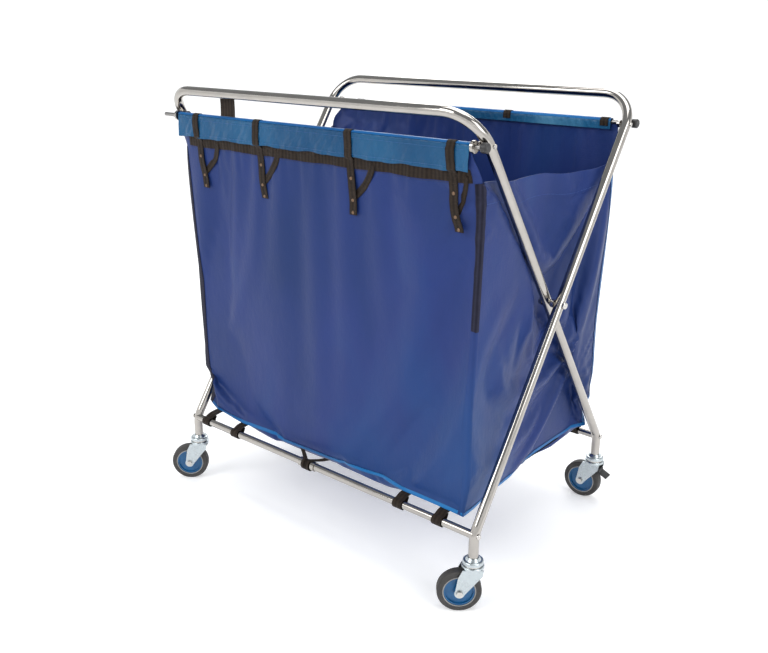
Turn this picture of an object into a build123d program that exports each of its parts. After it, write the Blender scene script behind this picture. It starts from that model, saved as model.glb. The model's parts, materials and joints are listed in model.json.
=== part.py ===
from build123d import *
import math
import os

# Folding linen trolley: two U-shaped tube frames crossed as an X, a fabric bag hung between them on
# two rods, and four swivel castors. Millimetres. +X runs along the bag, -Y is the front, +Z is up.
# The origin is on the floor under the middle of the outer frame. The rear-top frame is centred on
# X = 0; the front-top frame is the same size, shifted sideways, so the legs pass each other.

# ---- frames
tube_r = 11.0                 # round steel tube, 22 mm
tube_wall = 1.5
frame_half = 450.0            # half the distance between one frame's legs
frame_shift = -30.0           # the front-top frame's sideways shift
top_z = 1028.0                # centreline of both top bars
top_y = 288.0                 # top bars, front and rear
foot_z = 178.0                # centreline of both lower cross tubes
foot_y = 294.0                # lower cross tubes, front and rear
corner_r = 78.0               # bend at the top corners
foot_bend_r = 60.0            # bend from leg to upright foot
tube_end_z = 128.1            # lower end of the upright foot
cross_r = 9.0                 # lower cross tube, 18 mm
cross_wall = 1.5
hole_gap = 0.05               # radial clearance of bolts, pins and bushes

# ---- pivot in the middle of each pair of legs
bolt_r = 4.0
bolt_head_r = 8.0
spacer_r = 9.0

# ---- bag rods and the hooks that hold them
rod_r = 4.5
rod_z = 967.0
rod_reach = 27.0              # how far outside the leg's centreline the rod lies
knob_r = 10.0
knob_length = 15.0
hook_width = 6.0
hook_eye_r = 12.0
hook_stand_off = 1.8
rivet_r = 2.5

# ---- bag, between the inner faces of the legs
bag_left = -431.0
bag_right = 401.0
bag_half_y = 275.0
bag_bottom = 200.0
bag_top = 953.0
bag_end_top = 894.0
cloth = 4.0
sewing_gap = 0.1

# ---- hems and webbing
hem_r = 8.5
hem_drop = 48.0
hem_sheet = 3.0
web = 2.2
strap_width = 20.0
strap_tip_z = 801.0
strap_x = (-391.0, -180.0, 96.0, 357.0)
tail_offset = 66.0
tail_top_z = 909.0
tail_foot_z = 848.0
snap_z = (806.0, 832.0, 877.0)
band_z = (893.0, 922.0)
under_strap_x = (-405.0, -292.0, 250.0, 358.0)
under_strap_width = 25.0
centre_loop_x = -33.0

# ---- castors
wheel_r = 48.0
wheel_half = 12.0
core_r = 33.0
castor_trail = 28.0
fork_inner = 16.0
fork_sheet = 2.5
crown_z = 104.0
crown_top = 110.0
head_z = 114.0
axle_r = 4.0
bush_r = 6.5
king_r = 6.0
brake_pivot = (-16.0, 84.0)

# ---- worked out
slope = (top_y + foot_y) / (top_z - foot_z)
pivot_z = foot_z + foot_y / slope
head_top = tube_end_z - 0.1
FRONT_TOP = -1
REAR_TOP = 1


def leg_y(z, side):
    """Y of a leg's centreline at height z; side is FRONT_TOP or REAR_TOP."""
    return side * (-foot_y + (z - foot_z) * slope)


def frame_centre(side):
    return frame_shift if side == FRONT_TOP else 0.0


def leg_x(side):
    """X of the left and the right leg of one frame."""
    middle = frame_centre(side)
    return (middle - frame_half, middle + frame_half)


def rod_y(side):
    return leg_y(rod_z, side) + side * rod_reach


def save(shape, name):
    export_step(shape, "parts/" + name + ".step")


def group(solids):
    """Separate solids kept in one node."""
    return Compound(children=list(solids))


def block(low, high):
    """A box from its lowest to its highest corner."""
    size = [b - a for a, b in zip(low, high)]
    middle = [(a + b) / 2 for a, b in zip(low, high)]
    return Pos(*middle) * Box(*size)


def bar_x(x0, x1, y, z, radius):
    """A round bar along X."""
    return Pos((x0 + x1) / 2, y, z) * Rot(0, 90, 0) * Cylinder(radius, x1 - x0)


def bar_y(y0, y1, x, z, radius):
    return Pos(x, (y0 + y1) / 2, z) * Rot(90, 0, 0) * Cylinder(radius, y1 - y0)


def bar_z(z0, z1, radius):
    return Pos(0, 0, (z0 + z1) / 2) * Cylinder(radius, z1 - z0)


def webbing(start, end, width, thickness, flat):
    """A straight piece of webbing from start to end, its face along the direction flat."""
    a = Vector(*start)
    b = Vector(*end)
    along = (b - a).normalized()
    across = along.cross(Vector(*flat)).normalized()
    plane = Plane(origin=(a + b) / 2, x_dir=across, z_dir=along)
    return plane * Box(width, thickness, (b - a).length)


def bent_wire(points, radii):
    """A centreline through the points, rounded at each inner corner."""
    corners = [Vector(*p) for p in points]
    edges = []
    start = corners[0]
    for i, radius in enumerate(radii, start=1):
        back = (corners[i - 1] - corners[i]).normalized()
        ahead = (corners[i + 1] - corners[i]).normalized()
        half = math.radians(back.get_angle(ahead) / 2)
        setback = radius / math.tan(half)
        bulge = radius / math.sin(half) - radius
        a = corners[i] + back * setback
        b = corners[i] + ahead * setback
        middle = corners[i] + (back + ahead).normalized() * bulge
        edges.append(Line(start, a))
        edges.append(ThreePointArc(a, middle, b))
        start = b
    edges.append(Line(start, corners[-1]))
    return Wire(edges)


def swept_bar(wire, radius):
    plane = Plane(origin=wire @ 0, z_dir=wire % 0)
    return sweep(plane * Circle(radius), path=wire)


# ---------------------------------------------------------------- frames

def frame_wire(side):
    left, right = leg_x(side)
    foot = -side * foot_y
    top = side * top_y
    points = [(left, foot, tube_end_z), (left, foot, foot_z), (left, top, top_z),
              (right, top, top_z), (right, foot, foot_z), (right, foot, tube_end_z)]
    return bent_wire(points, [foot_bend_r, corner_r, corner_r, foot_bend_r])


def through_legs(side, y, z, radius):
    """Drills for both legs of a frame, along X."""
    drills = [bar_x(x - 2 * tube_r, x + 2 * tube_r, y, z, radius) for x in leg_x(side)]
    return drills[0] + drills[1]


def frame_tube(side):
    wire = frame_wire(side)
    tube = swept_bar(wire, tube_r) - swept_bar(wire, tube_r - tube_wall)
    tube -= through_legs(side, 0, pivot_z, bolt_r + hole_gap)
    tube -= through_legs(side, leg_y(rod_z, side), rod_z, rivet_r + hole_gap)
    tube -= through_legs(side, -side * foot_y, foot_z, bolt_r + hole_gap)
    return tube


def lower_tube(side):
    """The cross tube between a frame's feet, shaped to its legs, with a solid threaded plug at each end."""
    left, right = leg_x(side)
    y = -side * foot_y
    plug = 2 * tube_r + 12
    tube = bar_x(left, right, y, foot_z, cross_r)
    tube -= bar_x(left + plug, right - plug, y, foot_z, cross_r - cross_wall)
    tube -= swept_bar(frame_wire(side), tube_r + hole_gap)
    for x in (left, right):
        tube -= bar_x(x - plug, x + plug, y, foot_z, bolt_r + hole_gap)
    return tube.solids().sort_by(SortBy.VOLUME)[-1]


def domed_bolt(tip_x, face_x, y, z, radius, head_r, head_height):
    """A bolt along X whose domed head starts at face_x and points away from tip_x."""
    out = 1 if face_x > tip_x else -1
    shank = bar_x(min(tip_x, face_x), max(tip_x, face_x), y, z, radius)
    head = bar_x(min(face_x, face_x + out * head_height), max(face_x, face_x + out * head_height), y, z, head_r)
    far_edge = head.edges().filter_by(GeomType.CIRCLE).sort_by(Axis.X)[-1 if out > 0 else 0]
    return shank + fillet(far_edge, head_height * 0.7)


def lower_tube_bolts(side):
    left, right = leg_x(side)
    y = -side * foot_y
    return group([domed_bolt(left + 28, left - tube_r - 0.05, y, foot_z, bolt_r, 6.0, 4.5),
                  domed_bolt(right - 28, right + tube_r + 0.05, y, foot_z, bolt_r, 6.0, 4.5)])


# ---------------------------------------------------------------- pivots

def pivot_stack():
    """For each side: outer face of the outer leg, inner face of the inner leg, and outward sign."""
    front_left, front_right = leg_x(FRONT_TOP)
    rear_left, rear_right = leg_x(REAR_TOP)
    return [(rear_right + tube_r, front_right - tube_r, 1), (front_left - tube_r, rear_left + tube_r, -1)]


def pivot_bolts():
    bolts = []
    for outer, inner, out in pivot_stack():
        bolts.append(domed_bolt(inner - out * 6.0, outer + out * 0.15, 0, pivot_z, bolt_r, bolt_head_r, 6.0))
    return group(bolts)


def pivot_nuts():
    nuts = []
    for outer, inner, out in pivot_stack():
        a = inner - out * 0.15
        b = inner - out * 6.6
        body = bar_x(min(a, b), max(a, b), 0, pivot_z, bolt_head_r)
        nuts.append(body - bar_x(inner - 10, inner + 10, 0, pivot_z, bolt_r + hole_gap))
    return group(nuts)


def pivot_spacers():
    spacers = []
    for outer, inner, out in pivot_stack():
        a = outer - out * (2 * tube_r + 0.15)
        b = inner + out * (2 * tube_r + 0.15)
        body = bar_x(min(a, b), max(a, b), 0, pivot_z, spacer_r)
        spacers.append(body - bar_x(min(a, b) - 5, max(a, b) + 5, 0, pivot_z, bolt_r + hole_gap))
    return group(spacers)


# ---------------------------------------------------------------- bag rods

def rod(side):
    left, right = leg_x(side)
    return bar_x(left - 35, right + 10, rod_y(side), rod_z, rod_r)


def rod_knob(side):
    left, right = leg_x(side)
    y = rod_y(side)
    body = bar_x(right + 1, right + 1 + knob_length, y, rod_z, knob_r)
    body = fillet(body.edges().filter_by(GeomType.CIRCLE), 3.5)
    return body - bar_x(right - 5, right + 10.2, y, rod_z, rod_r + hole_gap)


def hook_span(side, x):
    """X range of the hook on the inner side of the leg at x."""
    out = 1 if x > frame_centre(side) else -1
    face = x - out * (tube_r + hook_stand_off)
    return sorted((face, face - out * hook_width))


def hook(side, x):
    """A pressed steel hook: an eye round the rod and a tab riveted to the leg."""
    low, high = hook_span(side, x)
    leg = leg_y(rod_z, side)
    y = rod_y(side)
    plate = bar_x(low, high, y, rod_z, hook_eye_r)
    plate += bar_x(low, high, leg, rod_z, 8.0)
    plate += block((low, min(leg, y), rod_z - 8), (high, max(leg, y), rod_z + 8))
    plate -= bar_x(low - 1, high + 1, y, rod_z, rod_r + hole_gap)
    return plate - bar_x(low - 1, high + 1, leg, rod_z, rivet_r + hole_gap)


def hook_rivets(side):
    rivets = []
    for x in leg_x(side):
        low, high = hook_span(side, x)
        out = 1 if x > frame_centre(side) else -1
        inner = (low if out > 0 else high) - out * 0.1
        outer = x + out * (tube_r + 0.1)
        y = leg_y(rod_z, side)
        rivet = bar_x(min(inner, outer), max(inner, outer), y, rod_z, rivet_r)
        for face, way in ((inner, -out), (outer, out)):
            rivet += bar_x(min(face, face + way * 2), max(face, face + way * 2), y, rod_z, 4.5)
        rivets.append(rivet)
    return group(rivets)


# ---------------------------------------------------------------- hems and straps on the rods

def face_y(side, distance):
    """Y at a distance outside the middle of the rod."""
    return rod_y(side) + side * distance


def layer(side, x0, x1, near, far, z0, z1):
    """An upright sheet: near and far are distances outside the rod's centreline."""
    a = face_y(side, near)
    b = face_y(side, far)
    return block((x0, min(a, b), z0), (x1, max(a, b), z1))


def hem_span(side):
    low = hook_span(side, leg_x(side)[0])[1]
    high = hook_span(side, leg_x(side)[1])[0]
    return (low + 3.5, min(high - 3.5, bag_right + 1.5))


def rod_hem(side):
    """The bag's top hem: a sleeve round the rod with a flap down its outer face."""
    x0, x1 = hem_span(side)
    sleeve = bar_x(x0, x1, rod_y(side), rod_z, hem_r)
    sleeve += layer(side, x0, x1, hem_r - hem_sheet, hem_r, rod_z - hem_drop, rod_z)
    return sleeve - bar_x(x0 - 1, x1 + 1, rod_y(side), rod_z, rod_r + 0.3)


def tail_top_x(side, x):
    """Tails lean right on the front and left on the rear, and stay within the bag."""
    return min(max(x - side * tail_offset, bag_left + 14), bag_right - 14)


def rod_strap(side, x):
    """Webbing over the hem: a loop round the top, a long front end, and a slanting tail."""
    x0 = x - strap_width / 2
    x1 = x + strap_width / 2
    inner = hem_r + 0.3
    outer = inner + web
    y = rod_y(side)
    loop = bar_x(x0, x1, y, rod_z, outer) - bar_x(x0 - 1, x1 + 1, y, rod_z, inner)
    loop -= block((x0 - 1, y - 2 * outer, rod_z - 2 * outer), (x1 + 1, y + 2 * outer, rod_z))
    front = layer(side, x0, x1, inner, outer, strap_tip_z, rod_z)
    back = layer(side, x0, x1, -outer, -inner, rod_z - 8, rod_z)
    tail_y = face_y(side, inner - web / 2 + 0.2)
    tail = webbing((tail_top_x(side, x), tail_y, tail_top_z), (x - side * 4, tail_y, tail_foot_z),
                   strap_width - 3, web, (0, 1, 0))
    return loop + front + back + tail


def strap_places(side):
    return [x - frame_shift * (side > 0) for x in strap_x]


def rod_straps(side):
    return group([rod_strap(side, x) for x in strap_places(side)])


def strap_snaps(side):
    """Press studs on the straps' long ends."""
    base = face_y(side, hem_r + 0.3 + web + 0.05)
    top = base + side * 2.2
    snaps = []
    for x in strap_places(side):
        for z in snap_z:
            snaps.append(bar_y(min(base, top), max(base, top), x, z, 4.5))
    return group(snaps)


def hem_band(side):
    """A webbing band sewn to the bag just under the hem."""
    return layer(side, bag_left + 6, bag_right - 6, 2.2, 2.2 + web, band_z[0], band_z[1])


def bar_tab():
    """A wide webbing tab behind the front top bar, down to the hem."""
    return block((-304, -276.4, rod_z + hem_r + 0.5), (-256, -274.2, top_z - 6))


# ---------------------------------------------------------------- bag

def bag_long_panel(side):
    y0 = side * bag_half_y
    y1 = side * (bag_half_y - cloth)
    return block((bag_left, min(y0, y1), bag_bottom), (bag_right, max(y0, y1), bag_top))


def bag_end_panel(outer, inner):
    inside = bag_half_y - cloth - sewing_gap
    return block((min(outer, inner), -inside, bag_bottom), (max(outer, inner), inside, bag_end_top))


def bag_floor():
    inside = bag_half_y - cloth - sewing_gap
    ends = cloth + sewing_gap
    return block((bag_left + ends, -inside, bag_bottom), (bag_right - ends, inside, bag_bottom + cloth))


def bag_end_hems():
    """The doubled rim of each end panel."""
    hems = []
    for x, out in ((bag_right, 1), (bag_left, -1)):
        a = x + out * 0.1
        b = x + out * 2.1
        hems.append(block((min(a, b), -258, bag_end_top - 44), (max(a, b), 258, bag_end_top)))
    return group(hems)


def bag_bindings():
    """Dark binding tape down the four upright corners."""
    tapes = []
    for side in (FRONT_TOP, REAR_TOP):
        for x0 in (bag_left + 1, bag_right - 11):
            a = side * (bag_half_y + 0.1)
            b = side * (bag_half_y + 1.9)
            tapes.append(block((x0, min(a, b), bag_bottom + 6), (x0 + 10, max(a, b), band_z[0] - 3)))
    return group(tapes)


# ---------------------------------------------------------------- straps under the bag

def cross_loop(x0, x1, side, inner):
    """Webbing once round a lower cross tube."""
    y = -side * foot_y
    return bar_x(x0, x1, y, foot_z, inner + web) - bar_x(x0 - 1, x1 + 1, y, foot_z, inner)


def under_strap(x):
    """Webbing from the front cross tube under the bag to the rear one."""
    x0 = x - under_strap_width / 2
    x1 = x + under_strap_width / 2
    level = bag_bottom - 1.6
    edge = bag_half_y - 8
    strap = block((x0, -edge, level - web / 2), (x1, edge, level + web / 2))
    for side in (FRONT_TOP, REAR_TOP):
        strap += cross_loop(x0, x1, side, cross_r + 0.3)
        strap += webbing((x, -side * (foot_y - 3.6), foot_z + 9.8), (x, -side * edge, level),
                         under_strap_width, web, (0, 0.4, 1))
    return strap


def under_straps():
    return group([under_strap(x) for x in under_strap_x])


def centre_loop():
    """A short webbing vee from the front cross tube's sleeve to the bag's lower edge."""
    x = centre_loop_x
    loop = cross_loop(x - 11, x + 11, REAR_TOP, cross_r + 2.8)
    for spread in (-42, 42):
        loop += webbing((x + spread * 0.12, -(foot_y - 5.5), foot_z + 11.4),
                        (x + spread, -(bag_half_y - 6), bag_bottom - 3.4), 18, web, (0, 0.4, 1))
    return loop


def centre_sleeve():
    """A short metal sleeve in the middle of the front cross tube."""
    y = -foot_y
    sleeve = bar_x(centre_loop_x - 25, centre_loop_x + 25, y, foot_z, cross_r + 2.4)
    return sleeve - bar_x(centre_loop_x - 30, centre_loop_x + 30, y, foot_z, cross_r + hole_gap)


# ---------------------------------------------------------------- castors, built with the trail along +X

def castor_head():
    """Stem, bearing cover and kingpin in one pressed and riveted piece."""
    cover = bar_z(head_z, head_z + 8, 22.5)
    cover = fillet(cover.edges().filter_by(GeomType.CIRCLE).sort_by(Axis.Z)[-1], 4)
    shoulder = Pos(0, 0, head_z + 8 + (head_top - head_z - 8) / 2) * Cone(17, 12.5, head_top - head_z - 8)
    stem = bar_z(head_z, foot_z - 22, tube_r - tube_wall - 0.2)
    king = bar_z(crown_z - 0.2, head_z, king_r)
    rivet = bar_z(crown_z - 3.6, crown_z - 0.2, 9)
    return cover + shoulder + stem + king + rivet


def ball_ring():
    return bar_z(crown_top + 0.2, head_z - 0.2, 20.5) - bar_z(crown_top - 1, head_z + 1, 13)


def fork_profile():
    """Side view of a fork leg: wide at the crown, tapering to a round end at the axle."""
    x, z = castor_trail, wheel_r
    outline = Plane.XZ * Polygon((-21, crown_z), (-19, crown_z - 14), (x - 10.5, z - 3), (x + 10.5, z - 1),
                                 (x + 4, crown_z - 18), (23, crown_z), align=None)
    return outline + Plane.XZ * Pos(x, z) * Circle(11)


def fork(brake):
    outer = fork_inner + fork_sheet
    legs = extrude(fork_profile(), outer, both=True)
    legs -= block((-90, -fork_inner, -10), (90, fork_inner, crown_z + 1))
    crown = fillet(bar_z(crown_z, crown_top, 24).edges().filter_by(GeomType.CIRCLE).sort_by(Axis.Z)[-1], 3)
    body = crown + legs
    body -= bar_z(crown_z - 5, crown_top + 5, king_r + hole_gap)
    body -= bar_y(-30, 30, castor_trail, wheel_r, axle_r + hole_gap)
    if brake:
        body -= bar_y(-30, 30, brake_pivot[0], brake_pivot[1], 2.5 + hole_gap)
    return body


def hexagon_y(y0, y1, x, z, across):
    return extrude(Plane(origin=(x, y0, z), x_dir=(1, 0, 0), z_dir=(0, 1, 0)) * RegularPolygon(across / 2, 6,
                   major_radius=False), y1 - y0)


def castor_axle():
    """Axle bolt with its head and nut outside the fork."""
    face = fork_inner + fork_sheet + 0.1
    axle = bar_y(-face - 1, face + 1, castor_trail, wheel_r, axle_r)
    axle += hexagon_y(face, face + 4.5, castor_trail, wheel_r, 13)
    return axle + hexagon_y(-face - 5.5, -face, castor_trail, wheel_r, 13)


def axle_bush():
    length = fork_inner - 0.1
    bush = bar_y(-length, length, castor_trail, wheel_r, bush_r)
    return bush - bar_y(-30, 30, castor_trail, wheel_r, axle_r + hole_gap)


def wheel_core():
    """Moulded wheel centre: hub, web and rim."""
    hub = bar_y(-fork_inner + 0.6, fork_inner - 0.6, castor_trail, wheel_r, 12)
    web_disc = bar_y(-7, 7, castor_trail, wheel_r, core_r)
    rim = bar_y(-11, 11, castor_trail, wheel_r, core_r) - bar_y(-20, 20, castor_trail, wheel_r, core_r - 3)
    return hub + web_disc + rim - bar_y(-30, 30, castor_trail, wheel_r, bush_r + hole_gap)


def wheel_tyre():
    tread = bar_y(-wheel_half, wheel_half, castor_trail, wheel_r, wheel_r)
    tread = fillet(tread.edges().filter_by(GeomType.CIRCLE), 5)
    return tread - bar_y(-30, 30, castor_trail, wheel_r, core_r)


def brake_pedal():
    """A foot pedal with its pin and a shoe that turns in towards the tyre."""
    x, z = brake_pivot
    toward = math.atan2(wheel_r - z, castor_trail - x)
    rest = toward - math.radians(28)
    pedal = bar_y(-13, 13, x, z, 5)
    pedal += bar_y(-18.4, 18.4, x, z, 2.5)
    pedal += webbing((x, 0, z), (x + 7.4 * math.cos(rest), 0, z + 7.4 * math.sin(rest)), 18, 4, (1, 0, 1))
    pedal += webbing((x - 2, 0, z - 1), (x - 25, 0, z - 12), 24, 4.5, (0.4, 0, -1))
    return pedal


castors = {
    "front_left": (leg_x(REAR_TOP)[0], -foot_y, -140.0, False),
    "front_right": (leg_x(REAR_TOP)[1], -foot_y, -140.0, False),
    "rear_left": (leg_x(FRONT_TOP)[0], foot_y, -158.0, True),
    "rear_right": (leg_x(FRONT_TOP)[1], foot_y, -177.0, True),
}


def save_castor(name, x, y, heading, brake):
    place = Pos(x, y, 0) * Rot(0, 0, heading)
    save(place * castor_head(), name + "_castor_head")
    save(place * fork(brake), name + "_castor_fork")
    save(group([place * castor_axle(), place * axle_bush()]), name + "_axle_and_bush")
    save(place * wheel_core(), name + "_wheel_core")
    save(place * wheel_tyre(), name + "_wheel_tyre")
    if brake:
        save(place * brake_pedal(), name + "_brake_pedal")


def save_frame(side, top_name, foot_name):
    save(frame_tube(side), top_name + "_frame_tube")
    save(lower_tube(side), foot_name + "_lower_tube")
    save(lower_tube_bolts(side), foot_name + "_lower_tube_bolts")
    save(rod(side), top_name + "_bag_rod")
    save(rod_knob(side), top_name + "_rod_knob")
    save(group([hook(side, x) for x in leg_x(side)]), top_name + "_rod_hooks")
    save(hook_rivets(side), top_name + "_hook_rivets")
    save(rod_hem(side), top_name + "_bag_hem")
    save(rod_straps(side), top_name + "_hem_straps")
    save(strap_snaps(side), top_name + "_strap_snaps")
    save(hem_band(side), top_name + "_hem_band")
    rings = [Pos(x, -side * foot_y, 0) * ball_ring() for x in leg_x(side)]
    save(group(rings), foot_name + "_castor_ball_rings")


os.makedirs("parts", exist_ok=True)
save_frame(FRONT_TOP, "front", "rear")
save_frame(REAR_TOP, "rear", "front")
save(pivot_bolts(), "pivot_bolts")
save(pivot_nuts(), "pivot_nuts")
save(pivot_spacers(), "pivot_spacers")
save(bar_tab(), "front_bar_tab")
save(bag_long_panel(FRONT_TOP), "bag_front_panel")
save(bag_long_panel(REAR_TOP), "bag_rear_panel")
save(bag_end_panel(bag_right, bag_right - cloth), "bag_right_panel")
save(bag_end_panel(bag_left, bag_left + cloth), "bag_left_panel")
save(bag_floor(), "bag_floor")
save(bag_end_hems(), "bag_end_hems")
save(bag_bindings(), "bag_corner_bindings")
save(under_straps(), "under_bag_straps")
save(centre_loop(), "centre_strap_loop")
save(centre_sleeve(), "centre_sleeve")
for castor_name, (cx, cy, angle, has_brake) in castors.items():
    save_castor(castor_name, cx, cy, angle, has_brake)
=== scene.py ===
import json
import math

import bpy
import numpy as np
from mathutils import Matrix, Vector


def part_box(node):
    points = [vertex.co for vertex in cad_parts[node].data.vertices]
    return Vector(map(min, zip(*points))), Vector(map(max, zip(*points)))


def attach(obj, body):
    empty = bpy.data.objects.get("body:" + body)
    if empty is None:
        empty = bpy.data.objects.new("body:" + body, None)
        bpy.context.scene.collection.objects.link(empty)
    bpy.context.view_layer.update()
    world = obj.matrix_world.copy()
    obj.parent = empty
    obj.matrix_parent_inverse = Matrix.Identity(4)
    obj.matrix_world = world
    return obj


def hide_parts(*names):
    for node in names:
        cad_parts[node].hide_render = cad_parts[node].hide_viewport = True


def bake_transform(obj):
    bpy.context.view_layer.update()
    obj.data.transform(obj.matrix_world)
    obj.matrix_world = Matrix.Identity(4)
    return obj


# Looks for the folding linen trolley. Metres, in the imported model's frame: +X along the bag,
# -Y is the front, +Z is up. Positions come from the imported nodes' boxes.

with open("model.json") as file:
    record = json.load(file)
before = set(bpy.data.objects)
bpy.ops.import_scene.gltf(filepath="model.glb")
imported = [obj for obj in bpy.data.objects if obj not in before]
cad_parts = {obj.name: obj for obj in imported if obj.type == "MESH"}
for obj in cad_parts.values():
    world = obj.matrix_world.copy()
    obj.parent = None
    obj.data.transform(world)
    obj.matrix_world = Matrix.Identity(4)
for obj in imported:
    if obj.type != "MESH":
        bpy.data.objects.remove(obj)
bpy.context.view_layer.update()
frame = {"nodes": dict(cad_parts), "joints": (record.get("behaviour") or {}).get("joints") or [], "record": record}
nodes = frame["nodes"]
scene = bpy.context.scene
MM = 0.001

# ------------------------------------------------------------------ places taken from the frame

PANEL_LOW, PANEL_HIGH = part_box("bag_front_panel")
REAR_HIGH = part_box("bag_rear_panel")[1]
END_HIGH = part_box("bag_right_panel")[1]
BAG_LEFT = PANEL_LOW.x
BAG_RIGHT = PANEL_HIGH.x
BAG_FRONT = PANEL_LOW.y
BAG_REAR = REAR_HIGH.y
BAG_BOTTOM = PANEL_LOW.z
BAG_TOP = PANEL_HIGH.z
RIM = END_HIGH.z
PIVOT_Z = [j for j in frame["joints"] if j["name"] == "front_top_frame_fold"][0]["pos_m"][2]
TUBE_R = 11 * MM
WEB = 2.0 * MM
CLOTH = 1.4 * MM


def middle(node):
    low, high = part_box(node)
    return (low + high) / 2


FRONT_ROD = middle("front_bag_rod")
REAR_ROD = middle("rear_bag_rod")
FRONT_FOOT = middle("front_lower_tube")
REAR_FOOT = middle("rear_lower_tube")

# The legs that the bag lies against: the front-top frame's right one (True) and the rear-top
# frame's left one (False). Both run straight from a foot to a top corner.
LEG_X = {True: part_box("front_frame_tube")[1].x - TUBE_R, False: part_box("rear_frame_tube")[0].x + TUBE_R}
LEG_FOOT_Z = REAR_FOOT.z
LEG_FOOT_Y = REAR_FOOT.y
LEG_TOP_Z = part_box("front_frame_tube")[1].z - TUBE_R
LEG_TOP_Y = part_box("front_frame_tube")[0].y + TUBE_R
LEG_LEAN = math.cos(math.atan((LEG_FOOT_Y - LEG_TOP_Y) / (LEG_TOP_Z - LEG_FOOT_Z)))


# ------------------------------------------------------------------ camera, light and floor

CAMERA_PLACE = (1.348, -1.639, 1.191)
CAMERA_DOWN = 19.08
CAMERA_TURN = 40.35
CAMERA_LENS = 41.9

# name, place, size, power in watts, aim
LIGHTS = (
    ("key", (-1.2, -3.6, 3.4), (2.6, 2.0), 92, (0, 0, 0.5)),
    ("side", (3.4, -0.6, 2.6), (1.8, 2.2), 52, (0, 0, 0.5)),
    ("top", (0.2, 0.6, 4.2), (3.2, 2.6), 88, (0, 0, 0)),
    ("back", (-1.8, 3.4, 2.8), (2.4, 1.6), 60, (0, 0, 0.6)),
)

FLOOR_R = 4.5
CURVE_R = 2.0
FLOOR_STEPS = 72


def set_camera():
    camera = bpy.data.objects.new("camera", bpy.data.cameras.new("camera"))
    scene.collection.objects.link(camera)
    camera.location = CAMERA_PLACE
    camera.rotation_euler = (math.radians(90 - CAMERA_DOWN), 0, math.radians(CAMERA_TURN))
    camera.data.lens = CAMERA_LENS
    camera.data.sensor_width = 36
    scene.camera = camera
    scene.view_settings.view_transform = "Standard"


def set_lights():
    world = bpy.data.worlds.new("studio")
    scene.world = world
    world.use_nodes = True
    background = world.node_tree.nodes["Background"]
    background.inputs["Color"].default_value = (0.92, 0.96, 1.0, 1)
    background.inputs["Strength"].default_value = 0.4

    for name, spot, size, power, aim in LIGHTS:
        light = bpy.data.objects.new(name, bpy.data.lights.new(name, "AREA"))
        scene.collection.objects.link(light)
        light.data.shape = "RECTANGLE"
        light.data.size = size[0]
        light.data.size_y = size[1]
        light.data.energy = power
        light.location = spot
        light.rotation_euler = (Vector(aim) - Vector(spot)).to_track_quat("-Z", "Y").to_euler()


def lay_floor():
    """A round floor that curves up into a low wall, open above."""
    rings = [(0.0, 0.0), (FLOOR_R, 0.0)]
    rings += [(FLOOR_R + CURVE_R * math.sin(a), CURVE_R - CURVE_R * math.cos(a))
              for a in np.linspace(0.15, 1.5, 10)]
    rings.append((6.55, 3.4))
    steps = FLOOR_STEPS
    points = [(0, 0, 0)]
    for radius, z in rings[1:]:
        for s in range(steps):
            a = 2 * math.pi * s / steps
            points.append((radius * math.cos(a), radius * math.sin(a), z))
    faces = [(0, 1 + s, 1 + (s + 1) % steps) for s in range(steps)]
    for r in range(len(rings) - 2):
        for s in range(steps):
            a = 1 + r * steps + s
            b = 1 + r * steps + (s + 1) % steps
            faces.append((a, a + steps, b + steps, b))
    floor = raw_mesh("floor", points, faces)
    floor.data.materials.append(floor_material())


def raw_mesh(name, points, faces):
    mesh = bpy.data.meshes.new(name)
    mesh.from_pydata([tuple(p) for p in points], [], faces)
    mesh.validate()
    mesh.polygons.foreach_set("use_smooth", [True] * len(mesh.polygons))
    piece = bpy.data.objects.new(name, mesh)
    scene.collection.objects.link(piece)
    return piece


# ------------------------------------------------------------------ materials

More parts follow.
